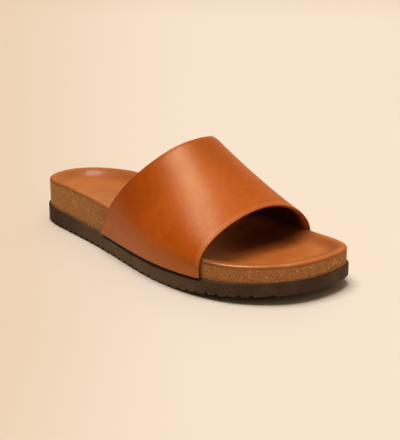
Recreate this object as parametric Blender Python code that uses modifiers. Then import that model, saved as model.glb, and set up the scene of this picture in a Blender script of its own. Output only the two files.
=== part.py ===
"""Right-foot leather mule: one wide strap over a leather-covered cork sole on a rubber outsole.

The shoe stands on its tread, toe towards -Y and lateral side towards -X. Sizes are in millimetres.
"along" runs from the back of the heel to the toe, "out" from the long axis to the lateral side, and
"up" from the floor.
"""
import math

import bmesh
import bpy
import numpy as np

MM = 0.001
LENGTH = 280.0
GAP = 0.3               # air left between pieces that lie against each other
CENTRE_OUT = 3.0        # the middle of the shoe's whole width, which stands at x = 0

# Plan of the outsole: a row for each cross section, with the distance of both edges from the axis
HEEL_BACK_OUT = 0.7
TOE_TIP_OUT = -13.0
PLAN = np.array([
    (12.0, 25.2, -23.1),
    (45.0, 34.4, -36.6),
    (80.0, 38.6, -37.4),
    (120.0, 45.1, -37.5),
    (165.0, 53.8, -43.4),
    (205.0, 56.0, -49.3),
    (240.0, 48.6, -50.0),
    (262.0, 33.0, -46.3),
    (275.0, 14.6, -37.0),
], dtype=[("along", float), ("lateral", float), ("medial", float)])

# Side view of the sole: heights of the tread, of the outsole's top and of the cork's upper edge,
# then how deep the footbed dips below its rim and how far from the rim it reaches that depth
SIDE = np.array([
    (0.0, 0.0, 13.7, 32.2, 6.5, 13.0),
    (60.0, 0.0, 12.9, 34.0, 6.5, 14.0),
    (120.0, 0.0, 12.4, 32.6, 5.0, 18.0),
    (180.0, 0.0, 12.8, 26.7, 4.5, 18.0),
    (235.0, 3.7, 13.5, 23.8, 4.5, 18.0),
    (280.0, 7.3, 16.0, 25.6, 4.5, 16.0),
], dtype=[("along", float), ("ground", float), ("outsole_top", float), ("cork_top", float),
          ("basin_depth", float), ("basin_run", float)])

# Outsole: lower bevel, rounded upper lip, and zigzag grooves across the tread
BEVEL_IN = 0.5
BEVEL_UP = 1.2
LIP = 0.7
LEDGE = 1.6             # how far the cork stands in from the outsole's side
GROOVE_FIRST = 10.0
GROOVE_LAST = 266.0
GROOVE_PITCH = 8.0
GROOVE_DEPTH = 2.6
GROOVE_FADE = 1.2       # how much shallower they are at the toe than at the heel
GROOVE_MOUTH = 3.2
GROOVE_FLOOR = 2.2
GROOVE_SWAY = 2.5       # each groove swings this far to both sides
GROOVE_LEG = 18.0       # width of one leg of the zigzag
GROOVE_REACH = 72.0     # half length of the cutter, past the outsole's edges
GROOVE_BELOW = 3.0      # how far the cutter reaches below the tread

# Footbed: leather rolled over the cork's edge
RIM_RISE = 2.2          # from the cork's edge to the crest of the rim
RIM_BAND = 0.7          # upright part of the rolled edge
RIM_CREST_IN = 2.0      # the crest's distance from the edge
ARCH_RISE = 3.0
ARCH_ALONG = 115.0
ARCH_SPREAD = 30.0
ARCH_START = -6.0       # the arch swells from here towards the medial side
ARCH_WIDTH = 26.0
TOP_RINGS = (0.0, 0.3, 0.9, 2.0, 4.0, 7.0, 11.0, 15.0, 19.0, 24.0)
UNDER_RINGS = (24.0, 19.0, 15.0, 11.0, 7.0, 4.0, 2.0)

# Strap: sections of the last from instep to toes, with the height and place of the crest and the
# roundness of each flank (2 is an ellipse, more is squarer)
STRAP_THICKNESS = 2.2
STRAP_PROUD = 1.0       # how far its lower wall stands out from the outsole's side
LAST = np.array([
    (105.0, 90.7, -12.9, 1.68, 2.25),
    (150.0, 90.8, -11.2, 1.72, 2.17),
    (190.0, 68.9, -9.7, 1.75, 2.10),
    (232.0, 46.6, -8.1, 1.78, 2.02),
], dtype=[("along", float), ("crest_up", float), ("crest_out", float), ("lateral_round", float),
          ("medial_round", float)])
REAR_EDGE = {"lateral": 102.5, "apex": 159.3, "medial": 110.0}
FRONT_EDGE = {"lateral": 223.8, "apex": 224.2, "medial": 228.9}
EDGE_POWER = 3.05       # how closely an edge's forward swing keeps to the apex
WALL_SHARE = 0.2        # part of the strap's sweep that stands upright on each side
BULGE_FADE = 1.2        # how soon the bulge of the sole's outline dies out up the flanks
STRAP_SWEEPS = 45
STRAP_ROWS = 15

HALF_COUNT = 34         # points on the sole's outline from heel to toe, on each side
COUNT = 2 * HALF_COUNT


def smooth_curve(xs, ys):
    """A function through the points that is smooth and never overshoots them."""
    steps = np.diff(xs)
    slopes = np.diff(ys) / steps
    tangents = np.concatenate((slopes[:1], np.zeros(len(xs) - 2), slopes[-1:]))
    for i, (before, after) in enumerate(zip(slopes, slopes[1:]), start=1):
        if before * after > 0:
            tangents[i] = 2 * before * after / (before + after)

    def value(x):
        x = np.clip(x, xs[0], xs[-1])
        i = np.clip(np.searchsorted(xs, x, side="right") - 1, 0, len(steps) - 1)
        t = (x - xs[i]) / steps[i]
        return ((1 + 2 * t) * (1 - t) ** 2 * ys[i] + t * (1 - t) ** 2 * steps[i] * tangents[i]
                + t * t * (3 - 2 * t) * ys[i + 1] - t * t * (1 - t) * steps[i] * tangents[i + 1])

    return value


def closed_spline(points):
    """Position and tangent of the smooth closed curve through the points, as functions of a
    parameter that counts the points."""
    following = np.roll(points, -1, axis=0)
    steps = np.sqrt(np.linalg.norm(following - points, axis=1))
    rates = (following - points) / steps[:, None]
    count = len(points)
    matrix = np.zeros((count, count))
    for i in range(count):
        matrix[i, i - 1] = steps[i]
        matrix[i, i] = 2 * (steps[i - 1] + steps[i])
        matrix[i, (i + 1) % count] = steps[i - 1]
    earlier = np.roll(steps, 1)[:, None]
    pull = 3 * (steps[:, None] * np.roll(rates, 1, axis=0) + earlier * rates)
    tangents = np.linalg.solve(matrix, pull)

    def sample(parameter):
        i = int(parameter) % count
        j = (i + 1) % count
        t = parameter - int(parameter)
        step = steps[i]
        position = ((1 + 2 * t) * (1 - t) ** 2 * points[i] + t * (1 - t) ** 2 * step * tangents[i]
                    + t * t * (3 - 2 * t) * points[j] - t * t * (1 - t) * step * tangents[j])
        tangent = (6 * t * (1 - t) * (points[j] - points[i]) / step
                   + (1 - t) * (1 - 3 * t) * tangents[i] + t * (3 * t - 2) * tangents[j])
        return position, tangent

    return sample


def sole_outline():
    """Points round the outsole and their outward normals, from the heel along the lateral side to
    the toe and back along the medial side."""
    lateral = np.column_stack((PLAN["along"], PLAN["lateral"]))
    medial = np.column_stack((PLAN["along"], PLAN["medial"]))[::-1]
    heel = [(0.0, HEEL_BACK_OUT)]
    toe = [(LENGTH, TOE_TIP_OUT)]
    sample = closed_spline(np.vstack((heel, lateral, toe, medial)))
    half = len(PLAN) + 1
    points = []
    normals = []
    for i in range(COUNT):
        position, tangent = sample(i * half / HALF_COUNT)
        points.append(position)
        normals.append(np.array((-tangent[1], tangent[0])) / np.linalg.norm(tangent))
    return np.array(points), np.array(normals)


EDGE, EDGE_NORMAL = sole_outline()
ground = smooth_curve(SIDE["along"], SIDE["ground"])
outsole_top = smooth_curve(SIDE["along"], SIDE["outsole_top"])
cork_top = smooth_curve(SIDE["along"], SIDE["cork_top"])
basin_depth = smooth_curve(SIDE["along"], SIDE["basin_depth"])
basin_run = smooth_curve(SIDE["along"], SIDE["basin_run"])


def place(along, out, up):
    """Turn shoe sizes in millimetres into a point in metres."""
    return ((CENTRE_OUT - out) * MM, (LENGTH / 2 - along) * MM, up * MM)


def ease(t):
    """A soft step from 0 to 1."""
    t = np.clip(t, 0.0, 1.0)
    return t * t * (3 - 2 * t)


def ring(offset, height):
    """A closed row of points beside the outline: offset outwards, and as high as the function of
    along and out says."""
    flat = EDGE + EDGE_NORMAL * offset
    return [(along, out, float(height(along, out))) for along, out in flat]


def finished_object(name, mesh_data, colour, roughness):
    """Put a bmesh into a named object with its own material."""
    mesh = bpy.data.meshes.new(name)
    mesh_data.to_mesh(mesh)
    mesh_data.free()
    mesh.shade_smooth()
    mesh.set_sharp_from_angle(angle=math.radians(35))
    material = bpy.data.materials.new(name)
    material.use_nodes = True
    shader = material.node_tree.nodes["Principled BSDF"]
    shader.inputs["Base Color"].default_value = (*colour, 1.0)
    shader.inputs["Roughness"].default_value = roughness
    shader.inputs["Metallic"].default_value = 0.0
    mesh.materials.append(material)
    return bpy.data.objects.new(name, mesh)


def lofted_mesh(rings):
    """Skin a stack of rings and close the first and last straight across the shoe."""
    mesh = bmesh.new()
    loops = [[mesh.verts.new(place(*point)) for point in points] for points in rings]
    for lower, upper in zip(loops, loops[1:]):
        for i in range(COUNT):
            j = (i + 1) % COUNT
            mesh.faces.new((lower[i], lower[j], upper[j], upper[i]))
    for loop in (loops[0], loops[-1]):
        for i in range(HALF_COUNT):
            corners = (loop[i], loop[i + 1], loop[-i - 1], loop[-i])
            mesh.faces.new(dict.fromkeys(corners))
    bmesh.ops.recalc_face_normals(mesh, faces=mesh.faces)
    return mesh


def footbed_top(along, out, inside):
    """Height of the footbed at a distance inside its edge: rolled rim, slope and basin."""
    rim = cork_top(along) + RIM_RISE
    if inside < RIM_CREST_IN:
        share = (RIM_CREST_IN - inside) / RIM_CREST_IN
        return rim - (RIM_RISE - RIM_BAND) * (1 - math.sqrt(1 - share * share))
    sunk = ease((inside - RIM_CREST_IN) / basin_run(along))
    arch = ARCH_RISE * math.exp(-((along - ARCH_ALONG) / ARCH_SPREAD) ** 2)
    arch *= ease((ARCH_START - out) / ARCH_WIDTH)
    return rim - basin_depth(along) * sunk + arch * sunk


def cork_surface(along, out, inside):
    """Height of the cork under the leather."""
    return footbed_top(along, out, max(inside, RIM_CREST_IN)) - RIM_RISE


def make_outsole():
    """Moulded rubber sole with a bevelled lower edge, an upright side and a rounded lip."""
    profile = (
        (-BEVEL_IN, lambda along, out: ground(along)),
        (-BEVEL_IN / 3, lambda along, out: ground(along) + BEVEL_UP / 2),
        (0.0, lambda along, out: ground(along) + BEVEL_UP),
        (0.0, lambda along, out: outsole_top(along) - LIP),
        (-LIP / 3, lambda along, out: outsole_top(along) - LIP / 3),
        (-LIP, lambda along, out: outsole_top(along)),
    )
    mesh = lofted_mesh([ring(offset, height) for offset, height in profile])
    return finished_object("outsole", mesh, (0.045, 0.028, 0.018), 0.75)


def make_groove_cutter():
    """A zigzag bar for each groove of the tread, wider at its mouth than at its floor."""
    mesh = bmesh.new()
    leg_count = round(2 * GROOVE_REACH / GROOVE_LEG)
    for along in np.arange(GROOVE_FIRST, GROOVE_LAST + 1, GROOVE_PITCH):
        tread = float(ground(along)) - GROOVE_FADE * along / LENGTH
        section = (
            (-GROOVE_MOUTH / 2, tread - GROOVE_BELOW),
            (GROOVE_MOUTH / 2, tread - GROOVE_BELOW),
            (GROOVE_MOUTH / 2, tread),
            (GROOVE_FLOOR / 2, tread + GROOVE_DEPTH),
            (-GROOVE_FLOOR / 2, tread + GROOVE_DEPTH),
            (-GROOVE_MOUTH / 2, tread),
        )
        loops = []
        for leg in range(leg_count + 1):
            sway = GROOVE_SWAY if leg % 2 else -GROOVE_SWAY
            out = GROOVE_LEG * leg - GROOVE_REACH
            loops.append([mesh.verts.new(place(along + sway + side, out, up)) for side, up in section])
        for first, second in zip(loops, loops[1:]):
            for i, corner in enumerate(first):
                j = (i + 1) % len(section)
                mesh.faces.new((corner, first[j], second[j], second[i]))
        mesh.faces.new(loops[0])
        mesh.faces.new(loops[-1])
    bmesh.ops.recalc_face_normals(mesh, faces=mesh.faces)
    cutter = finished_object("tread_grooves", mesh, (0.5, 0.5, 0.5), 0.5)
    cutter.hide_render = True
    cutter.display_type = "WIRE"
    return cutter


def make_cork_midsole():
    """Cork body, flat on the outsole and hollowed above to the footbed's form."""
    rings = [
        ring(-LEDGE, lambda along, out: outsole_top(along) + GAP),
        ring(-LEDGE, lambda along, out: cork_top(along)),
    ]
    for inside in reversed(UNDER_RINGS):
        rings.append(ring(-LEDGE - inside, lambda along, out: cork_surface(along, out, inside)))
    return finished_object("cork_midsole", lofted_mesh(rings), (0.30, 0.16, 0.07), 0.85)


def make_footbed():
    """Leather cover of even thickness, rolled over the cork's edge."""
    rings = []
    for inside in UNDER_RINGS:
        rings.append(ring(-LEDGE - inside, lambda along, out: cork_surface(along, out, inside) + GAP))
    rings.append(ring(-LEDGE, lambda along, out: cork_top(along) + GAP))
    for inside in TOP_RINGS:
        rings.append(ring(-LEDGE - inside, lambda along, out: footbed_top(along, out, inside)))
    return finished_object("footbed", lofted_mesh(rings), (0.50, 0.20, 0.07), 0.5)


STRAP_WALL = EDGE + EDGE_NORMAL * STRAP_PROUD
LATERAL_WALL = STRAP_WALL[:HALF_COUNT]
MEDIAL_WALL = STRAP_WALL[:HALF_COUNT:-1]
wall_out = {
    "lateral": smooth_curve(LATERAL_WALL[:, 0], LATERAL_WALL[:, 1]),
    "medial": smooth_curve(MEDIAL_WALL[:, 0], MEDIAL_WALL[:, 1]),
}
flank_round = {
    "lateral": smooth_curve(LAST["along"], LAST["lateral_round"]),
    "medial": smooth_curve(LAST["along"], LAST["medial_round"]),
}
crest_out = smooth_curve(LAST["along"], LAST["crest_out"])
crest_up = smooth_curve(LAST["along"], LAST["crest_up"])


def strap_edge(edge, sweep):
    """Where one edge of the strap lies along the shoe, for a sweep from lateral 0 to medial 1. It
    runs straight up each wall and then swings forward to the apex."""
    share = (1 - math.cos(math.pi * sweep)) / 2
    base = edge["lateral"] * (1 - share) + edge["medial"] * share
    swing = edge["apex"] - (edge["lateral"] + edge["medial"]) / 2
    rise = min(1.0, min(sweep, 1 - sweep) / WALL_SHARE)
    inner = min(max(sweep, WALL_SHARE), 1 - WALL_SHARE)
    return base + swing * rise * math.sin(math.pi * inner) ** EDGE_POWER


def wall_point(side, along, rise):
    """A point on the upright lower wall, from its base at rise 0 to its shoulder at rise 1."""
    base = float(outsole_top(along)) + GAP
    shoulder = float(cork_top(along))
    return np.array((along, float(wall_out[side](along)), base + (shoulder - base) * rise))


def edge_point(edge, sweep):
    """A point on one edge of the strap: up the wall, then over the last's section."""
    along = strap_edge(edge, sweep)
    side = "lateral" if sweep <= 0.5 else "medial"
    rise = min(1.0, min(sweep, 1 - sweep) / WALL_SHARE)
    if rise < 1:
        return wall_point(side, along, rise)
    turn = math.pi * (sweep - WALL_SHARE) / (1 - 2 * WALL_SHARE)
    power = 2 / float(flank_round[side](along))
    shoulder = float(cork_top(along))
    crest = float(crest_out(along))
    out = crest + (float(wall_out[side](along)) - crest) * abs(math.cos(turn)) ** power
    up = shoulder + (float(crest_up(along)) - shoulder) * abs(math.sin(turn)) ** power
    return np.array((along, out, up))


def strap_point(sweep, across):
    """A point on the strap's outer face. sweep runs over the foot from the lateral base to the
    medial one, and across from the rear edge to the front edge. The leather lies straight between
    its edges over the crest, and bulges with the sole's outline further down."""
    straight = edge_point(REAR_EDGE, sweep) * (1 - across) + edge_point(FRONT_EDGE, sweep) * across
    side = "lateral" if sweep <= 0.5 else "medial"
    rise = min(1.0, min(sweep, 1 - sweep) / WALL_SHARE)
    turn = math.pi * np.clip((sweep - WALL_SHARE) / (1 - 2 * WALL_SHARE), 0.0, 1.0)
    rear = strap_edge(REAR_EDGE, sweep)
    front = strap_edge(FRONT_EDGE, sweep)
    chord = wall_point(side, rear, rise) * (1 - across) + wall_point(side, front, rise) * across
    bulge = wall_point(side, rear * (1 - across) + front * across, rise) - chord
    return straight + bulge * abs(math.cos(turn)) ** BULGE_FADE


def make_upper():
    """One wide strap, a bent sheet of leather that is open at the toes, the heel and underneath."""
    mesh = bmesh.new()
    rows = []
    for row in range(STRAP_ROWS):
        across = row / (STRAP_ROWS - 1)
        sweeps = [column / (STRAP_SWEEPS - 1) for column in range(STRAP_SWEEPS)]
        rows.append([mesh.verts.new(place(*strap_point(sweep, across))) for sweep in sweeps])
    for rear, front in zip(rows, rows[1:]):
        for i in range(STRAP_SWEEPS - 1):
            mesh.faces.new((rear[i], front[i], front[i + 1], rear[i + 1]))
    upper = finished_object("upper", mesh, (0.46, 0.12, 0.02), 0.4)
    wall = upper.modifiers.new("leather wall", "SOLIDIFY")
    wall.thickness = STRAP_THICKNESS * MM
    wall.offset = -1.0
    wall.use_even_offset = True
    return upper


def build():
    """Make the four pieces and the tread's cutter, each in its collection."""
    for old in list(bpy.data.objects):
        bpy.data.objects.remove(old)
    parts = bpy.data.collections.new("mule_sandal")
    cutters = bpy.data.collections.new("cutters")
    bpy.context.scene.collection.children.link(parts)
    bpy.context.scene.collection.children.link(cutters)
    outsole = make_outsole()
    for piece in (outsole, make_cork_midsole(), make_footbed(), make_upper()):
        parts.objects.link(piece)
    grooves = make_groove_cutter()
    cutters.objects.link(grooves)
    tread = outsole.modifiers.new("tread", "BOOLEAN")
    tread.operation = "DIFFERENCE"
    tread.object = grooves


build()
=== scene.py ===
"""Looks of a right-foot leather mule: rubber outsole, cork midsole, leather footbed and one wide strap.

Sizes are in millimetres until place() turns them into metres. "along" runs from the back of the heel
to the toe, "out" from the long axis to the lateral side, and "up" from the floor. Materials read the
same millimetres through along_shoe() and out_from_axis().
"""
import math

import bmesh
import bpy
import numpy as np
from mathutils import Matrix, Vector


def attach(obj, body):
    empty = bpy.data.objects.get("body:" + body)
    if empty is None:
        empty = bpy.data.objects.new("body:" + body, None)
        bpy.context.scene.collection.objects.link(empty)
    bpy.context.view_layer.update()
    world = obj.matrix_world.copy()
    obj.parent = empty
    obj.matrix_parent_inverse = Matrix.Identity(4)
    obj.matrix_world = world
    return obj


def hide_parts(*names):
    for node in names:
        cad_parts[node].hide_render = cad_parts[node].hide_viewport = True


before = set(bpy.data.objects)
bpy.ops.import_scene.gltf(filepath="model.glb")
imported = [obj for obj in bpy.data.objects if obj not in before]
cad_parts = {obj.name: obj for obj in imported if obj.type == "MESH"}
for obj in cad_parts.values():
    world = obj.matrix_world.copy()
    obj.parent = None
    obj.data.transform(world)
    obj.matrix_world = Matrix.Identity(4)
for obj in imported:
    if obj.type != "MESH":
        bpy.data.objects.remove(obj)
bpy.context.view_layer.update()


# Outsole: one moulded sheet of dark brown rubber foam under the whole shoe, sprung up at the toe.
# Its upright side runs from a bevelled lower edge to a rounded lip, and zigzag grooves are cut across
# the tread, so that they show as notches along the side.
MM = 0.001
LENGTH = 280.0
CENTRE_OUT = 3.0        # the middle of the shoe's whole width, which stands at x = 0
HEEL_BACK_OUT = 0.7
TOE_TIP_OUT = -13.0
PLAN = np.array([
    (12.0, 25.2, -23.1),
    (45.0, 34.4, -36.6),
    (80.0, 38.6, -37.4),
    (120.0, 45.1, -37.5),
    (165.0, 53.8, -43.4),
    (205.0, 56.0, -49.3),
    (240.0, 48.6, -50.0),
    (262.0, 33.0, -46.3),
    (275.0, 14.6, -37.0),
], dtype=[("along", float), ("lateral", float), ("medial", float)])
SIDE = np.array([
    (0.0, 0.0, 13.7, 32.2, 6.5, 13.0),
    (60.0, 0.0, 12.9, 34.0, 6.5, 14.0),
    (120.0, 0.0, 12.4, 32.6, 5.0, 18.0),
    (180.0, 0.0, 12.8, 26.7, 4.5, 18.0),
    (235.0, 3.7, 13.5, 23.8, 4.5, 18.0),
    (280.0, 7.3, 16.0, 25.6, 4.5, 16.0),
], dtype=[("along", float), ("ground", float), ("outsole_top", float), ("cork_top", float),
          ("basin_depth", float), ("basin_run", float)])
HALF_STEPS = 136        # points on the sole's outline from heel to toe, on each side
STEPS = 2 * HALF_STEPS
BEVEL_IN = 0.5
BEVEL_UP = 1.2
BEVEL_TURNS = 5
LIP = 0.7
LIP_TURNS = 4
LEDGE = 1.6             # how far the cork stands in from the outsole's side
GROOVE_FIRST = 10.0
GROOVE_LAST = 266.0
GROOVE_PITCH = 8.0
GROOVE_DEPTH = 2.6
GROOVE_FADE = 1.2       # how much shallower they are at the toe than at the heel
GROOVE_MOUTH = 3.2
GROOVE_FLOOR = 2.2
GROOVE_SWAY = 2.5       # each groove swings this far to both sides
GROOVE_LEG = 18.0       # width of one leg of the zigzag
GROOVE_REACH = 72.0     # half length of the cutter, past the outsole's edges
GROOVE_BELOW = 3.0      # how far the cutter reaches below the tread
SOLE_CREASE = 35.0      # edges that turn by more degrees than this stay sharp
MEETING = 1e-6          # points closer than this, in metres, are one
SLIVER = 1e-7           # faces narrower than this, in metres, are dropped


def smooth_curve(xs, ys):
    """A function through the points that is smooth and never overshoots them."""
    steps = np.diff(xs)
    slopes = np.diff(ys) / steps
    tangents = np.concatenate((slopes[:1], np.zeros(len(xs) - 2), slopes[-1:]))
    for i, (before, after) in enumerate(zip(slopes, slopes[1:]), start=1):
        if before * after > 0:
            tangents[i] = 2 * before * after / (before + after)

    def value(x):
        x = np.clip(x, xs[0], xs[-1])
        i = np.clip(np.searchsorted(xs, x, side="right") - 1, 0, len(steps) - 1)
        t = (x - xs[i]) / steps[i]
        return ((1 + 2 * t) * (1 - t) ** 2 * ys[i] + t * (1 - t) ** 2 * steps[i] * tangents[i]
                + t * t * (3 - 2 * t) * ys[i + 1] - t * t * (1 - t) * steps[i] * tangents[i + 1])

    return value


def closed_spline(points):
    """Position and tangent of the smooth closed curve through the points, as functions of a
    parameter that counts the points."""
    following = np.roll(points, -1, axis=0)
    steps = np.sqrt(np.linalg.norm(following - points, axis=1))
    rates = (following - points) / steps[:, None]
    count = len(points)
    matrix = np.zeros((count, count))
    for i in range(count):
        matrix[i, i - 1] = steps[i]
        matrix[i, i] = 2 * (steps[i - 1] + steps[i])
        matrix[i, (i + 1) % count] = steps[i - 1]
    earlier = np.roll(steps, 1)[:, None]
    pull = 3 * (steps[:, None] * np.roll(rates, 1, axis=0) + earlier * rates)
    tangents = np.linalg.solve(matrix, pull)

    def sample(parameter):
        i = int(parameter) % count
        j = (i + 1) % count
        t = parameter - int(parameter)
        step = steps[i]
        position = ((1 + 2 * t) * (1 - t) ** 2 * points[i] + t * (1 - t) ** 2 * step * tangents[i]
                    + t * t * (3 - 2 * t) * points[j] - t * t * (1 - t) * step * tangents[j])
        tangent = (6 * t * (1 - t) * (points[j] - points[i]) / step
                   + (1 - t) * (1 - 3 * t) * tangents[i] + t * (3 * t - 2) * tangents[j])
        return position, tangent

    return sample


def sole_outline():
    """Points round the outsole and their outward normals, from the heel along the lateral side to
    the toe and back along the medial side."""
    lateral = np.column_stack((PLAN["along"], PLAN["lateral"]))
    medial = np.column_stack((PLAN["along"], PLAN["medial"]))[::-1]
    sample = closed_spline(np.vstack(([(0.0, HEEL_BACK_OUT)], lateral, [(LENGTH, TOE_TIP_OUT)], medial)))
    half = len(PLAN) + 1
    points = []
    normals = []
    for i in range(STEPS):
        position, tangent = sample(i * half / HALF_STEPS)
        points.append(position)
        normals.append(np.array((-tangent[1], tangent[0])) / np.linalg.norm(tangent))
    return np.array(points), np.array(normals)


EDGE, EDGE_NORMAL = sole_outline()
ground = smooth_curve(SIDE["along"], SIDE["ground"])
outsole_top = smooth_curve(SIDE["along"], SIDE["outsole_top"])
cork_top = smooth_curve(SIDE["along"], SIDE["cork_top"])
basin_depth = smooth_curve(SIDE["along"], SIDE["basin_depth"])
basin_run = smooth_curve(SIDE["along"], SIDE["basin_run"])


def place(along, out, up):
    """Turn shoe sizes in millimetres into a point in metres."""
    return Vector(((CENTRE_OUT - out) * MM, (LENGTH / 2 - along) * MM, up * MM))


def shoe_place(point):
    """Turn a point in metres back into along, out and up."""
    return LENGTH / 2 - point.y / MM, CENTRE_OUT - point.x / MM, point.z / MM


def ring(offset, height, share=0.0):
    """A closed row of points beside the outline, as high as the function of along and out says.
    A share above 0 draws each point towards the one across the shoe; at 0.5 they meet."""
    flat = EDGE + EDGE_NORMAL * offset
    across = np.roll(flat[::-1], 1, axis=0)
    flat = flat * (1 - share) + across * share
    return [place(along, out, float(height(along, out))) for along, out in flat]


def start_loop(name, points):
    """A circle with a numbered vertex for each point, moved onto the points, in edit mode."""
    bpy.ops.object.select_all(action="DESELECT")
    bpy.ops.mesh.primitive_circle_add(vertices=len(points), radius=1.0, fill_type="NOTHING")
    piece = bpy.context.object
    piece.name = piece.data.name = name
    numbers = piece.data.attributes.new("number", "INT", "POINT")
    numbers.data.foreach_set("value", list(range(len(points))))
    bpy.ops.object.mode_set(mode="EDIT")
    bpy.ops.mesh.select_all(action="SELECT")
    fit_loop(points)
    return piece


def fit_loop(points):
    """Move the selected vertices, each onto the point with its number."""
    mesh = bpy.context.object.data
    cage = bmesh.from_edit_mesh(mesh)
    number = cage.verts.layers.int["number"]
    for corner in cage.verts:
        if corner.select:
            corner.co = points[corner[number]]
    bmesh.update_edit_mesh(mesh)


def raise_loops(name, rings):
    """Extrude a loop from ring to ring, then merge what meets and turn the faces outwards."""
    piece = start_loop(name, rings[0])
    for points in rings[1:]:
        bpy.ops.mesh.extrude_edges_move()
        fit_loop(points)
    bpy.ops.mesh.select_all(action="SELECT")
    bpy.ops.mesh.remove_doubles(threshold=MEETING)
    bpy.ops.mesh.dissolve_degenerate(threshold=SLIVER)
    bpy.ops.mesh.normals_make_consistent(inside=False)
    bpy.ops.object.mode_set(mode="OBJECT")
    return piece


def pick(*pieces):
    """Select these pieces and no others, and make the first one active."""
    bpy.ops.object.select_all(action="DESELECT")
    for piece in pieces:
        piece.select_set(True)
    bpy.context.view_layer.objects.active = pieces[0]


def apply_modifier(piece, kind, **settings):
    """Add a modifier with these settings to the piece and apply it."""
    modifier = piece.modifiers.new(kind.lower(), kind)
    for name, value in settings.items():
        setattr(modifier, name, value)
    pick(piece)
    bpy.ops.object.modifier_apply(modifier=modifier.name)


def smooth_faces(piece, angle):
    """Shade the piece smooth, apart from edges that turn by more than the angle in degrees."""
    pick(piece)
    bpy.ops.object.shade_smooth_by_angle(angle=math.radians(angle))


def joined_copies(piece, moves):
    """Copy a piece once for each move, join the copies into one object and remove the first piece."""
    copies = []
    for move in moves:
        pick(piece)
        bpy.ops.object.duplicate()
        copy = bpy.context.object
        copy.data.transform(move)
        copies.append(copy)
    bpy.data.objects.remove(piece)
    pick(*copies)
    bpy.ops.object.join()
    return bpy.context.object


def mark(piece, name, values):
    """Keep a number for each of the piece's points, for its material to read."""
    piece.data.attributes.new(name, "FLOAT", "POINT").data.foreach_set("value", values)


def arc(turns):
    """Points of a quarter round, as pairs that go from (0, 0) to (1, 1)."""
    angles = [math.pi / 2 * i / turns for i in range(turns + 1)]
    return [(math.sin(angle), 1 - math.cos(angle)) for angle in angles]


outsole_rings = [ring(-BEVEL_IN, lambda along, out: ground(along), share=0.5)]
for out_share, up_share in arc(BEVEL_TURNS):
    outsole_rings.append(ring(BEVEL_IN * (out_share - 1),
                              lambda along, out: ground(along) + BEVEL_UP * up_share))
for up_share, in_share in arc(LIP_TURNS):
    outsole_rings.append(ring(-LIP * in_share,
                              lambda along, out: outsole_top(along) - LIP * (1 - up_share)))
outsole_rings.append(ring(-LIP, lambda along, out: outsole_top(along), share=0.5))
outsole = raise_loops("outsole_rubber", outsole_rings)

groove_section = (
    (-GROOVE_MOUTH / 2, -GROOVE_BELOW),
    (GROOVE_MOUTH / 2, -GROOVE_BELOW),
    (GROOVE_MOUTH / 2, 0.0),
    (GROOVE_FLOOR / 2, GROOVE_DEPTH),
    (-GROOVE_FLOOR / 2, GROOVE_DEPTH),
    (-GROOVE_MOUTH / 2, 0.0),
)
groove_legs = []
for leg in range(round(2 * GROOVE_REACH / GROOVE_LEG) + 1):
    sway = GROOVE_SWAY if leg % 2 else -GROOVE_SWAY
    groove_legs.append([place(GROOVE_FIRST + sway + side, GROOVE_LEG * leg - GROOVE_REACH, up)
                        for side, up in groove_section])
groove = start_loop("groove", groove_legs[0])
bpy.ops.mesh.edge_face_add()
for points in groove_legs[1:]:
    bpy.ops.mesh.extrude_region_move()
    fit_loop(points)
bpy.ops.mesh.select_all(action="SELECT")
bpy.ops.mesh.normals_make_consistent(inside=False)
bpy.ops.object.mode_set(mode="OBJECT")
groove_moves = []
for along in np.arange(GROOVE_FIRST, GROOVE_LAST + 1, GROOVE_PITCH):
    tread = float(ground(along)) - GROOVE_FADE * along / LENGTH
    groove_moves.append(Matrix.Translation((0.0, (GROOVE_FIRST - along) * MM, tread * MM)))
grooves = joined_copies(groove, groove_moves)
apply_modifier(outsole, "BOOLEAN", operation="DIFFERENCE", object=grooves, solver="EXACT")
bpy.data.objects.remove(grooves)
smooth_faces(outsole, SOLE_CREASE)


class Shade:
    """An output socket in a material. Arithmetic on it adds Math nodes, node() adds any other."""

    def __init__(self, tree, socket=None):
        self.tree = tree
        self.socket = socket

    def node(self, kind, settings=None, sockets=None, output=0):
        made = self.tree.nodes.new("ShaderNode" + kind)
        for name, value in (settings or {}).items():
            if name == "stops":
                stops = made.color_ramp.elements
                for i, (position, colour) in enumerate(value):
                    stop = stops[i] if i < 2 else stops.new(position)
                    stop.position = position
                    stop.color = colour
            else:
                setattr(made, name, value)
        self.feed(made, sockets or {})
        return Shade(self.tree, made.outputs[output])

    def feed(self, made, sockets):
        for key, value in sockets.items():
            if isinstance(value, Shade):
                self.tree.links.new(value.socket, made.inputs[key])
            else:
                made.inputs[key].default_value = value

    def maths(self, operation, first, second):
        return self.node("Math", {"operation": operation}, {0: first, 1: second})

    def __add__(self, other):
        return self.maths("ADD", self, other)

    def __radd__(self, other):
        return self.maths("ADD", other, self)

    def __sub__(self, other):
        return self.maths("SUBTRACT", self, other)

    def __rsub__(self, other):
        return self.maths("SUBTRACT", other, self)

    def __mul__(self, other):
        return self.maths("MULTIPLY", self, other)

    def __rmul__(self, other):
        return self.maths("MULTIPLY", other, self)


def tint(red, green, blue):
    """A colour as seen on screen, 0 to 255, turned into the shader's light values."""
    light = []
    for level in (red, green, blue):
        level = level / 255
        light.append(level / 12.92 if level <= 0.04045 else ((level + 0.055) / 1.055) ** 2.4)
    return (*light, 1.0)


def new_finish(name):
    """A new material, the shade that its nodes start from, and the object's coordinates."""
    material = bpy.data.materials.new(name)
    material.use_nodes = True
    start = Shade(material.node_tree)
    return material, start, start.node("TexCoord", output="Object")


def along_shoe(where):
    """How far along the shoe each point lies, in millimetres."""
    return LENGTH / 2 - where.node("SeparateXYZ", sockets={0: where}, output="Y") * (1 / MM)


def marked(where, name):
    """The numbers that mark() kept under this name."""
    return where.node("Attribute", {"attribute_name": name}, output="Fac")


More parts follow.
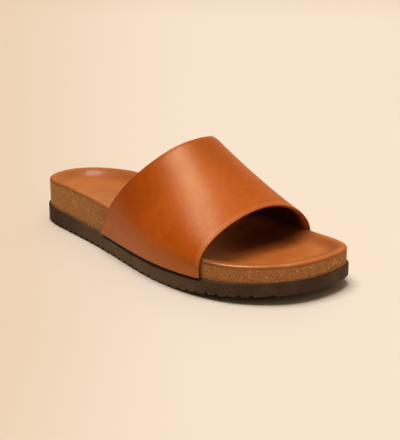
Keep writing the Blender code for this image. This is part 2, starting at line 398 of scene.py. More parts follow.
def noise(where, scale, detail=2.0, roughness=0.5):
    """Cloudy values from 0 to 1; scale counts the clouds in a metre."""
    return where.node("TexNoise", sockets={
        "Vector": where, "Scale": scale, "Detail": detail, "Roughness": roughness})


def soft_step(value, low, high):
    """0 below the low value, 1 above the high one, with a smooth rise between."""
    return value.node("MapRange", {"interpolation_type": "SMOOTHSTEP"}, {
        "Value": value, "From Min": low, "From Max": high})


def band(value, start, full, fade, end):
    """Rises from 0 to 1 between start and full, and falls back to 0 between fade and end."""
    return soft_step(value, start, full) * (1 - soft_step(value, fade, end))


def mix(share, first, second):
    """The first colour where share is 0, the second where it is 1. The node's colours are its sockets
    6 and 7, and its output 2."""
    return share.node("Mix", {"data_type": "RGBA"}, {0: share, 6: first, 7: second}, output=2)


def bump(height, depth, under=None):
    """A surface whose relief is the height times the depth in millimetres."""
    sockets = {"Height": height, "Strength": 1.0, "Distance": depth * MM}
    if under:
        sockets["Normal"] = under
    return height.node("Bump", sockets=sockets)


def finish_piece(piece, material, start, **looks):
    """Set the shader's sockets and give the material to the piece."""
    start.feed(material.node_tree.nodes["Principled BSDF"], looks)
    piece.data.materials.append(material)


below_top = []
for corner in outsole.data.vertices:
    along, out, up = shoe_place(corner.co)
    below_top.append(float(outsole_top(along)) - up)
mark(outsole, "below_top", below_top)

RUBBER = tint(77, 58, 43)
RUBBER_PALE = tint(130, 105, 82)
# painted shade: a dark line along the top of the outsole's side, where the strap's lower edge overhangs it
RUBBER_PAINTED_SHADE = tint(22, 13, 8)
STRAP_SHADE_FROM = 104.0      # the strap stands on this stretch of the ledge
STRAP_SHADE_TO = 226.0
STRAP_SHADE_FADE = 4.0
rubber, start, where = new_finish("outsole_rubber")
below = marked(where, "below_top")
along = along_shoe(where)
speckle = noise(where, 900, detail=3)
cloud = noise(where, 40, detail=3)
dust = soft_step(cloud * 0.6 + speckle * 0.4, 0.42, 0.68)
# paler over the middle of the sole's length
paler_midway = band(along, 50, 120, 190, 250)
under_strap = band(along, STRAP_SHADE_FROM, STRAP_SHADE_FROM + STRAP_SHADE_FADE, STRAP_SHADE_TO - STRAP_SHADE_FADE, STRAP_SHADE_TO)
halfway = band(along, 110, 150, 170, 210)
# the painted shade under the strap, thickest halfway along it
painted_strap_shade = under_strap * (1 - soft_step(below + 0.5 * cloud - 0.6 * halfway, 1.8, 2.4))
finish_piece(outsole, rubber, start, **{
    "Base Color": mix(0.95 * painted_strap_shade, mix(0.4 * dust + 0.5 * paler_midway, RUBBER, RUBBER_PALE), RUBBER_PAINTED_SHADE),
    "Roughness": 0.62 + 0.18 * speckle,
    "Specular IOR Level": 0.35,
    "Normal": bump(speckle, 0.06, bump(cloud, 0.25)),
})
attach(outsole, "root")
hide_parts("outsole")


# Cork midsole: the body of the sole, pressed from cork granules of two to four millimetres and glued
# on the outsole inside its ledge. Only its upright side shows; its top is hollowed for the footbed.
RIM_RISE = 2.2          # from the cork's edge to the crest of the footbed's rim
RIM_BAND = 0.7          # upright part of the leather's rolled edge
RIM_CREST_IN = 2.0      # the crest's distance from the edge
ARCH_RISE = 3.0
ARCH_ALONG = 115.0
ARCH_SPREAD = 30.0
ARCH_START = -6.0       # the arch swells from here towards the medial side
ARCH_WIDTH = 26.0
UNDER_RINGS = (2.0, 4.0, 7.0, 11.0, 15.0)
ACROSS_SHARES = (0.06, 0.13, 0.21, 0.3, 0.4, 0.5)
CORK_ROWS = 6
GLUE = 0.05             # glue line between two layers


def ease(t):
    """A soft step from 0 to 1."""
    t = np.clip(t, 0.0, 1.0)
    return t * t * (3 - 2 * t)


def footbed_top(along, out, inside):
    """Height of the footbed at a distance inside its edge: rolled rim, slope and basin."""
    rim = cork_top(along) + RIM_RISE
    if inside < RIM_CREST_IN:
        share = (RIM_CREST_IN - inside) / RIM_CREST_IN
        return rim - (RIM_RISE - RIM_BAND) * (1 - math.sqrt(1 - share * share))
    sunk = ease((inside - RIM_CREST_IN) / basin_run(along))
    arch = ARCH_RISE * math.exp(-((along - ARCH_ALONG) / ARCH_SPREAD) ** 2)
    arch *= ease((ARCH_START - out) / ARCH_WIDTH)
    return rim - basin_depth(along) * sunk + arch * sunk


def cork_surface(along, out, inside):
    """Height of the cork under the leather."""
    return footbed_top(along, out, max(inside, RIM_CREST_IN)) - RIM_RISE


def from_edge(along, out):
    """How far a point lies inside the cork's edge."""
    return float(np.linalg.norm(EDGE - (along, out), axis=1).min()) - LEDGE


def hollow_rings(surface, insides):
    """Rings from the edge inwards over a hollow surface, and then across to the middle."""
    rings = [ring(-LEDGE - inside, lambda along, out: surface(along, out, inside)) for inside in insides]
    for share in ACROSS_SHARES:
        rings.append(ring(-LEDGE - insides[-1],
                          lambda along, out: surface(along, out, from_edge(along, out)), share))
    return rings


cork_rings = [ring(-LEDGE, lambda along, out: outsole_top(along) + GLUE, share=0.5)]
for row in range(CORK_ROWS + 1):
    cork_rings.append(ring(-LEDGE, lambda along, out: (
        outsole_top(along) + GLUE + (cork_top(along) - outsole_top(along) - GLUE) * row / CORK_ROWS)))
cork_rings += hollow_rings(cork_surface, UNDER_RINGS)
cork = raise_loops("cork_midsole_body", cork_rings)
smooth_faces(cork, SOLE_CREASE)

CORK_TAN = tint(195, 137, 84)
CORK_OCHRE = tint(238, 182, 116)
CORK_DARK = tint(142, 103, 71)
CORK_SEAM = tint(116, 82, 57)
GRANULES = 480.0        # to a metre
CRUMBS = 1300.0
WOBBLES = 500.0
WOBBLE = 1.6            # how far the granules' edges stray
cork_finish, start, where = new_finish("cork")
stray = where.node("TexNoise", sockets={"Vector": where, "Scale": WOBBLES}, output="Color")
wobble = where.node("VectorMath", {"operation": "SCALE"}, {0: stray, "Scale": WOBBLE * MM})
granule_place = where.node("VectorMath", {"operation": "ADD"}, {0: where, 1: wobble})
granule = where.node("TexVoronoi", sockets={"Vector": granule_place, "Scale": GRANULES}, output="Color")
seam = where.node("TexVoronoi", {"feature": "DISTANCE_TO_EDGE"}, {
    "Vector": granule_place, "Scale": GRANULES})
crumb = where.node("TexVoronoi", sockets={"Vector": granule_place, "Scale": CRUMBS}, output="Color")
granule_tint = where.node("ValToRGB", {"stops": (
    (0.0, CORK_DARK), (1.0, CORK_OCHRE), (0.3, CORK_TAN), (0.7, CORK_TAN))}, {"Fac": granule})
crumb_tint = where.node("ValToRGB", {"stops": (
    (0.0, CORK_SEAM), (1.0, CORK_OCHRE), (0.3, CORK_TAN), (0.8, CORK_TAN))}, {"Fac": crumb})
in_seam = 1 - soft_step(seam, 0.0, 0.14)
patches = noise(where, 260, detail=3)
flecks = soft_step(noise(where, 1000, detail=2), 0.55, 0.66)
cork_tint = mix(soft_step(patches, 0.40, 0.60), granule_tint, crumb_tint)
cork_tint = mix(0.3 * in_seam, cork_tint, CORK_SEAM)
towards_heel = 1 - soft_step(along_shoe(where), 50, 140)
cork_tint = mix(0.2 * towards_heel, cork_tint, CORK_OCHRE)
finish_piece(cork, cork_finish, start, **{
    "Base Color": mix(0.45 * flecks, cork_tint, CORK_SEAM),
    "Roughness": 0.7 + 0.15 * in_seam,
    "Specular IOR Level": 0.3,
    "Normal": bump(1 - in_seam, 0.12, bump(flecks, -0.15)),
})
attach(cork, "root")
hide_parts("cork_midsole")


# Footbed: one piece of tan leather moulded over the cork, with a heel cup and a toe basin. It is rolled
# over the cork's edge, so that the rim is round and its lower edge shows as a thin dark line.
TOP_RINGS = (0.0, 0.08, 0.25, 0.5, 0.9, 1.4, 2.0, 2.7, 3.5, 4.5, 5.7, 7.0, 8.5, 10.0, 11.5, 13.0, 15.0)
LEATHER_CREASE = 50.0


def footbed_under(along, out, inside):
    """Height of the leather's underside on its glue."""
    return cork_surface(along, out, inside) + GLUE


footbed_rings = hollow_rings(footbed_under, UNDER_RINGS)[::-1]
footbed_rings.append(ring(-LEDGE, lambda along, out: cork_top(along) + GLUE))
footbed_rings += hollow_rings(footbed_top, TOP_RINGS)
footbed = raise_loops("footbed_leather", footbed_rings)
smooth_faces(footbed, LEATHER_CREASE)

inside_edge = []
above_cork = []
for corner in footbed.data.vertices:
    along, out, up = shoe_place(corner.co)
    inside_edge.append(from_edge(along, out))
    above_cork.append(up - float(cork_top(along)))
mark(footbed, "inside_edge", inside_edge)
mark(footbed, "above_cork", above_cork)


def out_from_axis(where):
    """How far out to the lateral side each point lies, in millimetres."""
    return CENTRE_OUT - where.node("SeparateXYZ", sockets={0: where}, output="X") * (1 / MM)


FOOTBED_TAN = tint(187, 114, 59)
FOOTBED_DEEP = tint(173, 99, 46)
FOOTBED_SHADE_AND_EDGE = tint(146, 76, 32)
FOOTBED_PAINTED_LIGHT = tint(206, 128, 68)
FOOTBED_SHADED = tint(140, 80, 37)
FOOTBED_PAINTED_HAZE = tint(214, 160, 114)
FOOTBED_CUT_EDGE_AND_SHADE = tint(104, 56, 26)
footbed_finish, start, where = new_finish("footbed_leather")
inside = marked(where, "inside_edge")
above = marked(where, "above_cork")
along = along_shoe(where)
out = out_from_axis(where)
cloud = noise(where, 22, detail=4, roughness=0.6)
mottle = noise(where, 130, detail=3)
grain = where.node("TexVoronoi", {"feature": "DISTANCE_TO_EDGE"}, {"Vector": where, "Scale": 1100.0})
pores = noise(where, 1600, detail=2)
toes = soft_step(along, 195, 225)
toe_tips = soft_step(along, 232, 258)
big_toe = toes * (1 - soft_step(out, -27, -2))
medial = 1 - soft_step(out, -27, 13)
under_strap = band(along, 120, 160, 228, 242)
# painted light under the strap: a pale haze deep inside, and on the lateral side towards the front edge
deep_in = 1 - soft_step(along, 185, 212)
haze_in_front = band(along, 185, 212, 218, 226) * soft_step(out, -2, 38)
painted_haze = (haze_in_front + deep_in * (1 - 0.5 * medial)) * soft_step(along, 158, 188)
rim = toes * (1 - soft_step(inside, 2.2, 4.5))
polished = rim * soft_step(inside, 0.2, 1.0) * soft_step(out, -1, 25)
slope = band(inside, 2.5, 7.0, 8.0, 16.0)
heel_cup = (1 - soft_step(along, 30, 55)) * band(inside, 2.5, 6.0, 12.0, 20.0)
heel_side = band(along, 25, 70, 80, 140) * soft_step(out, -17, 23)
outer_side = 1 - soft_step(inside, 0.2, 1.0)
lower_edge = outer_side * (1 - soft_step(above + 0.5 * mottle, 0.35, 0.8))
footbed_tint = mix(soft_step(0.7 * cloud + 0.3 * mottle, 0.35, 0.68), FOOTBED_TAN, FOOTBED_DEEP)
# painted light: paler towards the toe tips, apart from the shaded slope at the big toe
footbed_tint = mix(0.25 * toe_tips * (1 - slope * big_toe), footbed_tint, FOOTBED_PAINTED_LIGHT)
# painted shade on the basin's inner slope, faint behind the toes and strongest at the big toe
footbed_tint = mix(slope * (0.25 - 0.25 * toes + 0.6 * big_toe), footbed_tint, FOOTBED_SHADE_AND_EDGE)
# darker on the outer side of the rim, away from the toes
footbed_tint = mix(0.35 * outer_side * (1 - toes), footbed_tint, FOOTBED_SHADE_AND_EDGE)
# painted light: paler on the lateral side of the heel
footbed_tint = mix(0.18 * heel_side, footbed_tint, FOOTBED_PAINTED_HAZE)
footbed_tint = mix(0.85 * under_strap, footbed_tint, FOOTBED_SHADED)
footbed_tint = mix(painted_haze, footbed_tint, FOOTBED_PAINTED_HAZE)
# painted shade: the strap's shadow made deeper on the medial side, short of the deep inside
footbed_tint = mix(0.6 * under_strap * medial * (1 - deep_in), footbed_tint, FOOTBED_CUT_EDGE_AND_SHADE)
footbed_relief = bump(mottle * (1 - rim), 0.12)
footbed_relief = bump(soft_step(grain, 0.0, 0.12), 0.02, footbed_relief)
finish_piece(footbed, footbed_finish, start, **{
    "Base Color": mix(0.8 * lower_edge, footbed_tint, FOOTBED_CUT_EDGE_AND_SHADE),
    "Roughness": 0.33 + 0.12 * cloud + 0.08 * mottle,
    "Specular IOR Level": 0.4,
    "Coat Weight": polished + 0.16 * heel_cup,
    "Coat Roughness": 0.14,
    "Coat IOR": 1.8,
    "Specular Tint": (1.0, 0.85, 0.68, 1.0),
    "Normal": bump(pores, 0.03, footbed_relief),
})
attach(footbed, "root")
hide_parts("footbed")


# Strap: one wide piece of waxed cognac leather, bent over the last and open at the toes and the heel.
# Its two lower edges stand on the outsole's ledge outside the cork. The front edge is pressed down
# along a row of stitches, and the rear edge is creased.
GAP = 0.3               # air left under the strap's lower edges
STRAP_THICKNESS = 1.7
STRAP_ROUND = 0.5       # radius of its cut edges
STRAP_PROUD = 1.0       # how far its lower wall stands out from the outsole's side
LAST = np.array([
    (105.0, 90.7, -12.9, 1.68, 2.25),
    (150.0, 90.8, -11.2, 1.72, 2.17),
    (190.0, 68.9, -9.7, 1.75, 2.10),
    (232.0, 46.6, -8.1, 1.78, 2.02),
], dtype=[("along", float), ("crest_up", float), ("crest_out", float), ("lateral_round", float),
          ("medial_round", float)])
REAR_EDGE = {"lateral": 102.5, "apex": 159.3, "medial": 110.0}
FRONT_EDGE = {"lateral": 223.8, "apex": 224.2, "medial": 228.9}
EDGE_POWER = 3.05       # how closely an edge's forward swing keeps to the apex
WALL_SHARE = 0.2        # part of the strap's sweep that stands upright on each side
BULGE_FADE = 1.2        # how soon the bulge of the sole's outline dies out up the flanks
STRAP_SWEEPS = 150
WIDTH_POINTS = 9        # points that its width is measured along
FRONT_ROWS = (0.0, 0.5, 1.0, 1.4, 1.7, 1.9, 2.1, 2.3, 2.5, 2.7, 2.9, 3.2, 3.7, 4.5, 6.0, 8.5)
REAR_ROWS = (0.0, 0.5, 1.0, 1.4, 1.7, 2.0, 2.3, 2.7, 3.3, 4.5, 6.5)
MIDDLE_ROWS = 26
ROLL_DROP = 0.45        # how far the front edge is turned down
ROLL_WIDTH = 4.5
CREST_DROP = 0.7        # and the rear edge, where it passes over the crest
CREST_WIDTH = 5.0
CREST_FROM = 0.26       # how far up each flank the rear edge begins to turn
CREST_RUN = 0.14
SEAM_IN = 1.7           # the stitch row's distance from the front edge
SEAM_DEPTH = 0.07
SEAM_WIDTH = 0.32
SEAM_START = 0.12       # the row begins this far up each flank
SEAM_FADE = 0.05
CREASE_IN = 1.9         # the crease's distance from the rear edge
CREASE_DEPTH = 0.10
CREASE_WIDTH = 0.35
TUCK_DEPTH = 2.0        # how far the leather draws in above the wall, as far as its gloss shows it
TUCK_AT = 0.26
TUCK_SPREAD = 0.12
SWELL_HEIGHT = 1.6      # and how far it swells at the instep
SWELL_AT = 0.33
SWELL_SPREAD = 0.07
SWELL_REACH = 0.4

STRAP_WALL = EDGE + EDGE_NORMAL * STRAP_PROUD
LATERAL_WALL = STRAP_WALL[:HALF_STEPS]
MEDIAL_WALL = STRAP_WALL[:HALF_STEPS:-1]
wall_out = {
    "lateral": smooth_curve(LATERAL_WALL[:, 0], LATERAL_WALL[:, 1]),
    "medial": smooth_curve(MEDIAL_WALL[:, 0], MEDIAL_WALL[:, 1]),
}
flank_round = {
    "lateral": smooth_curve(LAST["along"], LAST["lateral_round"]),
    "medial": smooth_curve(LAST["along"], LAST["medial_round"]),
}
crest_out = smooth_curve(LAST["along"], LAST["crest_out"])
crest_up = smooth_curve(LAST["along"], LAST["crest_up"])


def strap_edge(edge, sweep):
    """Where one edge of the strap lies along the shoe, for a sweep from lateral 0 to medial 1. It
    runs straight up each wall and then swings forward to the apex."""
    share = (1 - math.cos(math.pi * sweep)) / 2
    base = edge["lateral"] * (1 - share) + edge["medial"] * share
    swing = edge["apex"] - (edge["lateral"] + edge["medial"]) / 2
    rise = min(1.0, min(sweep, 1 - sweep) / WALL_SHARE)
    inner = min(max(sweep, WALL_SHARE), 1 - WALL_SHARE)
    return base + swing * rise * math.sin(math.pi * inner) ** EDGE_POWER


def wall_point(side, along, rise):
    """A point on the upright lower wall, from its base at rise 0 to its shoulder at rise 1."""
    base = float(outsole_top(along)) + GAP
    shoulder = float(cork_top(along))
    return place(along, float(wall_out[side](along)), base + (shoulder - base) * rise)


def edge_point(edge, sweep):
    """A point on one edge of the strap: up the wall, then over the last's section."""
    along = strap_edge(edge, sweep)
    side = "lateral" if sweep <= 0.5 else "medial"
    rise = min(1.0, min(sweep, 1 - sweep) / WALL_SHARE)
    if rise < 1:
        return wall_point(side, along, rise)
    turn = math.pi * (sweep - WALL_SHARE) / (1 - 2 * WALL_SHARE)
    power = 2 / float(flank_round[side](along))
    shoulder = float(cork_top(along))
    crest = float(crest_out(along))
    out = crest + (float(wall_out[side](along)) - crest) * abs(math.cos(turn)) ** power
    return place(along, out, shoulder + (float(crest_up(along)) - shoulder) * abs(math.sin(turn)) ** power)


def strap_point(sweep, across):
    """A point on the strap's outer face. sweep runs over the foot from the lateral base to the
    medial one, and across from the rear edge to the front edge. The leather lies straight between
    its edges over the crest, and bulges with the sole's outline further down."""
    straight = edge_point(REAR_EDGE, sweep).lerp(edge_point(FRONT_EDGE, sweep), across)
    side = "lateral" if sweep <= 0.5 else "medial"
    rise = min(1.0, min(sweep, 1 - sweep) / WALL_SHARE)
    turn = math.pi * np.clip((sweep - WALL_SHARE) / (1 - 2 * WALL_SHARE), 0.0, 1.0)
    rear = strap_edge(REAR_EDGE, sweep)
    front = strap_edge(FRONT_EDGE, sweep)
    chord = wall_point(side, rear, rise).lerp(wall_point(side, front, rise), across)
    bulge = wall_point(side, rear + (front - rear) * across, rise) - chord
    return straight + bulge * abs(math.cos(turn)) ** BULGE_FADE


def strap_width(sweep):
    """Length of leather from the rear edge to the front edge, in millimetres."""
    row = [strap_point(sweep, across) for across in np.linspace(0.0, 1.0, WIDTH_POINTS)]
    return sum((b - a).length for a, b in zip(row, row[1:])) / MM


def strap_rows(width):
    """Where the rows of the strap's grid lie across it: close together at both edges."""
    rear = [distance / width for distance in REAR_ROWS]
    front = [1 - distance / width for distance in reversed(FRONT_ROWS)]
    middle = [rear[-1] + (front[0] - rear[-1]) * i / (MIDDLE_ROWS + 1) for i in range(1, MIDDLE_ROWS + 1)]
    return rear + middle + front


def trough(distance, width):
    """A soft round dip, 1 deep at its middle."""
    return math.exp(-(distance / width) ** 2)


def strap_sheet(name, rows_at, relief):
    """A grid laid over the last, pushed outwards by the relief in millimetres. Attributes keep each
    point's share of the way up a flank and across the strap, and its distance from both edges."""
    columns = []
    for i in range(STRAP_SWEEPS + 1):
        width = strap_width(i / STRAP_SWEEPS)
        columns.append((width, rows_at(width)))
    rows = len(columns[0][1])
    bpy.ops.object.select_all(action="DESELECT")
    bpy.ops.mesh.primitive_grid_add(x_subdivisions=STRAP_SWEEPS, y_subdivisions=rows - 1, size=2.0)
    sheet = bpy.context.object
    sheet.name = sheet.data.name = name
    marks = {"flank": [], "across": [], "rear_distance": [], "front_distance": []}
    for corner in sheet.data.vertices:
        sweep = (corner.co.x + 1) / 2
        width, acrosses = columns[round(sweep * STRAP_SWEEPS)]
        across = acrosses[round((1 - corner.co.y) / 2 * (rows - 1))]
        corner.co = strap_point(sweep, across)
        distances = (min(sweep, 1 - sweep), across, across * width, (1 - across) * width)
        for values, value in zip(marks.values(), distances):
            values.append(value)
    sheet.data.update()
    normals = [corner.normal.copy() for corner in sheet.data.vertices]
    for i, corner in enumerate(sheet.data.vertices):
        depth = relief(marks["flank"][i], marks["rear_distance"][i], marks["front_distance"][i])
        corner.co += normals[i] * depth * MM
    for mark_name, values in marks.items():
        mark(sheet, mark_name, values)
    return sheet


def edge_roll(flank, rear, front):
    """How far the leather is turned down at its front edge, and over the crest at its rear edge."""
    crest_share = float(ease((flank - CREST_FROM) / CREST_RUN))
    over_crest = CREST_DROP * max(0.0, 1 - rear / CREST_WIDTH) ** 2 * crest_share
    return ROLL_DROP * max(0.0, 1 - front / ROLL_WIDTH) ** 2 + over_crest


def strap_relief(flank, rear, front):
    """Turned edges, the stitch groove at the front and the crease at the rear."""
    seam = SEAM_DEPTH * trough(front - SEAM_IN, SEAM_WIDTH) * ease((flank - SEAM_START) / SEAM_FADE)
    return -edge_roll(flank, rear, front) - seam - CREASE_DEPTH * trough(rear - CREASE_IN, CREASE_WIDTH)


strap = strap_sheet("strap_leather", strap_rows, strap_relief)
drape = []
for flank, across in zip(strap.data.attributes["flank"].data, strap.data.attributes["across"].data):
    swell = SWELL_HEIGHT * trough(flank.value - SWELL_AT, SWELL_SPREAD)
    swell *= 1 - ease(across.value / SWELL_REACH)
    drape.append(float(swell) - TUCK_DEPTH * trough(flank.value - TUCK_AT, TUCK_SPREAD))
mark(strap, "drape", drape)


def thicken(sheet, thickness, rounding, segments):
    """Give a sheet of leather its thickness, inwards, and round its cut edges."""
    apply_modifier(sheet, "SOLIDIFY", thickness=thickness * MM, offset=-1.0, use_even_offset=True)
    apply_modifier(sheet, "BEVEL", width=rounding * MM, segments=segments, limit_method="ANGLE",
                   angle_limit=math.radians(LEATHER_CREASE))
    smooth_faces(sheet, LEATHER_CREASE)


thicken(strap, STRAP_THICKNESS, STRAP_ROUND, segments=3)

STRAP_COGNAC = tint(197, 103, 29)
STRAP_DEEP = tint(183, 89, 20)
STRAP_PAINTED_SHADE = tint(140, 58, 12)
STRAP_PAINTED_HIGHLIGHT = tint(226, 146, 86)
STRAP_PAINTED_REFLECTION = tint(186, 112, 54)
STRAP_CUT = tint(168, 84, 32)
STRAP_PAINTED_SHADOW_LINE = tint(48, 24, 10)
strap_finish, start, where = new_finish("strap_leather")
flank, across, rear, front, drape = (
    marked(where, name) for name in ("flank", "across", "rear_distance", "front_distance", "drape"))
cloud = noise(where, 18, detail=4, roughness=0.6)
mottle = noise(where, 290, detail=3)
grain = where.node("TexVoronoi", {"feature": "DISTANCE_TO_EDGE"}, {"Vector": where, "Scale": 1700.0})
pores = noise(where, 1200, detail=3)
rear_flank = band(flank, 0.08, 0.22, 0.27, 0.40) * (1 - soft_step(across, 0.1, 0.62))
towards_rear = 1 - soft_step(across, 0.0, 0.6)
on_crest = soft_step(flank, 0.42, 0.48) * (1 - soft_step(across, 0.3, 0.9))
low_down = (1 - soft_step(flank, 0.10, 0.25)) * (0.35 + 0.65 * soft_step(across, 0.25, 0.7))
crease = band(rear, 1.4, 1.8, 1.9, 2.4) * (1 - soft_step(flank, 0.28, 0.40))
stitched = soft_step(flank, SEAM_START, SEAM_START + 0.08)
seam = stitched * band(front, 1.3, 1.6, 1.8, 2.1)
# painted highlight on the turned-down band along the front edge
edge_highlight = stitched * band(front, 0.3, 0.8, 2.0, 5.0)
cut = 1 - soft_step(front, 0.1, 0.5) * soft_step(rear, 0.1, 0.5)
# painted shade: a dark line along the strap's lower edges
shadow_line_at_base = 1 - soft_step(flank, 0.003, 0.009)
leather_tint = mix(soft_step(0.7 * cloud + 0.3 * mottle, 0.35, 0.68), STRAP_COGNAC, STRAP_DEEP)
# painted shade: darker part way up the flanks near the rear edge, towards the rear, and along the top of the
# crest
leather_tint = mix(0.25 * rear_flank + 0.14 * towards_rear + 0.28 * on_crest, leather_tint, STRAP_PAINTED_SHADE)
# painted reflection of the floor: a paler, duller tone low on the walls, most towards the front
leather_tint = mix(0.6 * low_down, leather_tint, STRAP_PAINTED_REFLECTION)
# painted shade in the stitch groove and in the crease along the rear edge
leather_tint = mix(0.55 * seam + 0.4 * crease, leather_tint, STRAP_PAINTED_SHADE)
leather_tint = mix(0.3 * edge_highlight * (1 - seam), leather_tint, STRAP_PAINTED_HIGHLIGHT)
# painted shade on the strap's cut edges low on the walls, where they meet the sole
cut_tint = mix(soft_step(flank, 0.12, 0.22), STRAP_PAINTED_SHADOW_LINE, STRAP_CUT)
strap_relief_map = bump(mottle, 0.07, bump(drape, 1.0))
strap_relief_map = bump(soft_step(grain, 0.0, 0.2), 0.007, strap_relief_map)
finish_piece(strap, strap_finish, start, **{
    "Base Color": mix(0.9 * shadow_line_at_base, mix(cut, leather_tint, cut_tint), STRAP_PAINTED_SHADOW_LINE),
    "Roughness": 0.27 + 0.04 * across + 0.08 * cloud + 0.06 * mottle,
    "Specular IOR Level": 0.5,
    "Specular Tint": (1.0, 0.95, 0.72, 1.0),
    "Normal": bump(pores, 0.03, strap_relief_map),
})
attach(strap, "root")
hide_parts("upper")


# Stitches: one row of waxed brown thread in the pressed groove along the strap's front edge. Each stitch
# is a short round length whose two ends dive into the leather.
STITCH_PITCH = 2.1
STITCH_LENGTH = 0.8
STITCH_THICKNESS = 0.5
STITCH_PROUD = 0.15     # how far its middle line stands above the groove's floor
STITCH_DIVE = 0.35      # how deep its ends go into the leather
STITCH_LEAN = 0.21      # and how far they reach on along the seam
STITCH_TAPER = 0.7
STITCH_SIDES = 8
STITCH_END = 0.9        # a face that looks along the stitch by more than this is one of its ends
STITCH_CREASE = 60.0
SEAM_MARGIN = 0.02      # from the seam's start to the first stitch, as a share of the sweep
SEAM_POINTS = 400       # points that the seam's length is measured along
SWEEP_STEP = 0.002      # to either side, for the seam's direction


def pick_end(piece, direction):
    """Select the faces that look up or down the stitch, in edit mode."""
    bpy.ops.mesh.select_all(action="DESELECT")
    cage = bmesh.from_edit_mesh(piece.data)
    for face in cage.faces:
        face.select_set(face.normal.z * direction > STITCH_END)
    bmesh.update_edit_mesh(piece.data)


bpy.ops.object.select_all(action="DESELECT")
bpy.ops.mesh.primitive_cylinder_add(vertices=STITCH_SIDES, radius=STITCH_THICKNESS / 2 * MM,
                                    depth=STITCH_LENGTH * MM)
stitch = bpy.context.object
bpy.ops.object.mode_set(mode="EDIT")
bpy.ops.mesh.select_mode(type="FACE")
for direction in (1, -1):
    pick_end(stitch, direction)
    dive = Vector((-STITCH_DIVE, 0.0, STITCH_LEAN * direction)) * MM
    bpy.ops.mesh.extrude_region_move(TRANSFORM_OT_translate={"value": dive})
    bpy.ops.transform.resize(value=(STITCH_TAPER, STITCH_TAPER, STITCH_TAPER))
bpy.ops.mesh.select_mode(type="VERT")
bpy.ops.object.mode_set(mode="OBJECT")

seam_sweeps = np.linspace(SEAM_START + SEAM_MARGIN, 1 - SEAM_MARGIN - SEAM_START, SEAM_POINTS)
seam_points = [strap_point(sweep, 1 - SEAM_IN / strap_width(sweep)) for sweep in seam_sweeps]
seam_length = np.cumsum([0.0] + [(b - a).length / MM for a, b in zip(seam_points, seam_points[1:])])
stitch_moves = []
for distance in np.arange(STITCH_PITCH, seam_length[-1] - STITCH_PITCH, STITCH_PITCH):
    sweep = float(np.interp(distance, seam_length, seam_sweeps))
    width = strap_width(sweep)
    across = 1 - SEAM_IN / width
    middle = strap_point(sweep, across)
    over = strap_point(sweep + SWEEP_STEP, across) - strap_point(sweep - SWEEP_STEP, across)
    over.normalize()
    outward = (strap_point(sweep, 1.0) - middle).cross(over).normalized()
    sunk = SEAM_DEPTH + edge_roll(min(sweep, 1 - sweep), width - SEAM_IN, SEAM_IN)
    middle = middle + outward * (STITCH_PROUD - sunk) * MM
    turned = Matrix((outward, over.cross(outward), over)).transposed().to_4x4()
    stitch_moves.append(Matrix.Translation(middle) @ turned)
stitches = joined_copies(stitch, stitch_moves)
stitches.name = stitches.data.name = "strap_stitches"
smooth_faces(stitches, STITCH_CREASE)

THREAD_BROWN = tint(208, 144, 90)
THREAD_LIGHT = tint(232, 178, 124)
thread, start, where = new_finish("stitch_thread")
strands = noise(where, 2600, detail=1)
finish_piece(stitches, thread, start, **{
    "Base Color": mix(strands, THREAD_BROWN, THREAD_LIGHT),
    "Roughness": 0.45 + 0.2 * strands,
    "Specular IOR Level": 0.35,
    "Normal": bump(strands, 0.05),
})
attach(stitches, "root")


# Strap lining: a thin sheet of dark brown leather glued inside the strap, cut a little short of its front
# and rear edges, so that the strap's own thickness shows round the openings.
LINING_THICKNESS = 0.45
LINING_ROUND = 0.15
LINING_SHORT = 1.2
LINING_ROWS = 24


def lining_rows(width):
    """Where the rows of the lining's grid lie: even, and short of both edges."""
    short = LINING_SHORT / width
    return [short + (1 - 2 * short) * i / LINING_ROWS for i in range(LINING_ROWS + 1)]


def lining_relief(flank, rear, front):
    """Under the strap and its glue, and turned down with it at the edges."""
    return -STRAP_THICKNESS - GLUE - edge_roll(flank, rear, front)


lining = strap_sheet("strap_lining", lining_rows, lining_relief)
thicken(lining, LINING_THICKNESS, LINING_ROUND, segments=2)

LINING_BROWN = tint(92, 54, 26)
LINING_NAP = tint(116, 72, 38)
LINING_PAINTED_LIGHT = tint(176, 128, 84)
LINING_TURN_IN_AND_LIGHT = tint(226, 160, 104)
lining_finish, start, where = new_finish("lining_leather")
nap = noise(where, 700, detail=4, roughness=0.65)
# painted light: paler towards the lining's lateral side
lit_side = soft_step(out_from_axis(where), 8, 48)
# a pale tan band inside the front edge, as if the strap's leather turned in, and partly painted light
turned = 1 - soft_step(marked(where, "front_distance"), 3.0, 11.0)
lining_tint = mix(lit_side, mix(nap, LINING_BROWN, LINING_NAP), LINING_PAINTED_LIGHT)
finish_piece(lining, lining_finish, start, **{
    "Base Color": mix(turned, lining_tint, LINING_TURN_IN_AND_LIGHT),
    "Roughness": 0.85,
    "Specular IOR Level": 0.2,
    "Normal": bump(nap, 0.08),
})
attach(lining, "root")


# Floor: a plain cream studio floor, painted matt. Its colour carries a painted pool of light behind the shoe,
# and painted shade towards the left and into the distance.
FLOOR_CREAM = tint(217, 201, 183)
FLOOR_LIT = tint(228, 218, 208)
FLOOR_SIZE = 12.0       # these are in metres
FLOOR_LIT_AT = (0.45, 0.35, 0.0)
FLOOR_LIT_WITHIN = 0.7
FLOOR_LIT_TO = 1.8
FLOOR_FROM = (-0.503, -0.571, 0.0)      # the darker side fans out from here
FLOOR_AWAY = (0.666, 0.746, 0.0)
FLOOR_RIGHT = (0.746, -0.666, 0.0)
FLOOR_NEAR = 0.6        # nearer than this it stops narrowing
FLOOR_DARK_SLANT = -0.24                # darkest this far to the right for each metre away
FLOOR_LIT_SLANT = 0.04                  # and palest from here on
bpy.ops.object.select_all(action="DESELECT")
bpy.ops.mesh.primitive_plane_add(size=FLOOR_SIZE)
floor = bpy.context.object
floor.name = floor.data.name = "studio_floor"
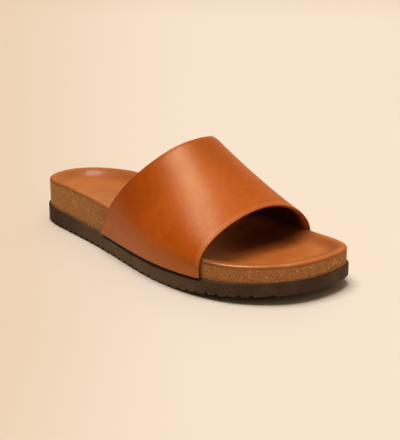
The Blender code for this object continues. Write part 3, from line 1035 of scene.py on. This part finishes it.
floor_finish, start, where = new_finish("studio_floor")
from_pool = where.node("VectorMath", {"operation": "DISTANCE"}, {0: where, 1: FLOOR_LIT_AT}, output="Value")
spread = where.node("VectorMath", {"operation": "SUBTRACT"}, {0: where, 1: FLOOR_FROM})
away, rightward = (
    where.node("VectorMath", {"operation": "DOT_PRODUCT"}, {0: spread, 1: direction}, output="Value")
    for direction in (FLOOR_AWAY, FLOOR_RIGHT))
slant = where.maths("DIVIDE", rightward, where.maths("MAXIMUM", away, FLOOR_NEAR))
lit = soft_step(slant, FLOOR_DARK_SLANT, FLOOR_LIT_SLANT)
lit = lit * (1 - soft_step(from_pool, FLOOR_LIT_WITHIN, FLOOR_LIT_TO))
finish_piece(floor, floor_finish, start, **{
    "Base Color": mix(lit, FLOOR_CREAM, FLOOR_LIT),
    "Roughness": 0.9,
    "Specular IOR Level": 0.1,
})


# Light: a large soft lamp straight above, and two weaker, warmer ones in front, one of them low. Two small
# lamps show only as gleams, down the strap and along the toe rim. The room is dark, with a pale screen on
# the far side.
LAMPS = np.array([
    ("soft_lamp_above", (-0.08, 0.12, 0.99), 36.0, 2.42, (1.0, 0.97, 0.93), True, False),
    ("soft_lamp_in_front", (-0.05, -0.65, 0.76), 80.0, 0.34, (1.0, 0.76, 0.48), True, False),
    ("low_lamp_in_front", (-0.25, -0.93, 0.27), 60.0, 0.22, (1.0, 0.85, 0.60), True, False),
    ("gleam_lamp", (-0.18, 0.20, 0.96), 27.0, 1.20, (1.0, 0.97, 0.92), False, True),
    ("toe_gleam_lamp", (0.12, -0.32, 0.94), 14.0, 0.50, (1.0, 0.97, 0.92), False, True),
], dtype=[("name", "U24"), ("comes_from", float, 3), ("width", float), ("power", float), ("warmth", float, 3),
          ("matt", bool), ("glossy", bool)])
BACKDROP_TO = Vector((0.74, 0.40, 0.54))
BACKDROP_EDGE = 0.70    # cosine of the angle at which the screen has faded out
BACKDROP_CREAM = (0.95, 0.72, 0.46, 1.0)
ROOM_LIGHT = 0.07
BACKDROP_LIGHT = 0.78
for name, comes_from, width, power, warmth, matt, glossy in LAMPS:
    lamp_data = bpy.data.lights.new(str(name), "SUN")
    lamp_data.energy = power
    lamp_data.angle = math.radians(width)
    lamp_data.color = warmth
    lamp = bpy.data.objects.new(str(name), lamp_data)
    bpy.context.scene.collection.objects.link(lamp)
    lamp.visible_diffuse = bool(matt)
    lamp.visible_glossy = bool(glossy)
    lamp.rotation_euler = Vector(comes_from).to_track_quat("Z", "Y").to_euler()

world = bpy.data.worlds.new("studio")
world.use_nodes = True
start = Shade(world.node_tree)
towards = start.node("VectorMath", {"operation": "DOT_PRODUCT"}, {
    0: start.node("TexCoord", output="Generated"), 1: BACKDROP_TO}, output="Value")
backdrop = soft_step(towards, BACKDROP_EDGE, 1.0)
start.feed(world.node_tree.nodes["Background"], {
    "Color": BACKDROP_CREAM, "Strength": ROOM_LIGHT + (BACKDROP_LIGHT - ROOM_LIGHT) * backdrop})
bpy.context.scene.world = world
bpy.context.scene.view_settings.view_transform = "Standard"
bpy.context.scene.view_settings.look = "Medium High Contrast"


# Camera: a long lens that looks down a little on the toe and the lateral side, from about three lengths
# of the shoe away. It is aimed at the middle of the shoe, which stands whole in the picture.
CAMERA_PLACE = (-0.50294, -0.57124, 0.26827)
CAMERA_AIM = (0.0209, -0.0066, 0.0205)
CAMERA_LENS = 88.0
CAMERA_SENSOR = 36.0
camera_data = bpy.data.cameras.new("camera")
camera_data.sensor_width = CAMERA_SENSOR
camera_data.lens = CAMERA_LENS
camera = bpy.data.objects.new("camera", camera_data)
bpy.context.scene.collection.objects.link(camera)
camera.location = CAMERA_PLACE
camera.rotation_euler = (Vector(CAMERA_AIM) - Vector(CAMERA_PLACE)).to_track_quat("-Z", "Y").to_euler()
bpy.context.scene.camera = camera

bpy.context.view_layer.update()
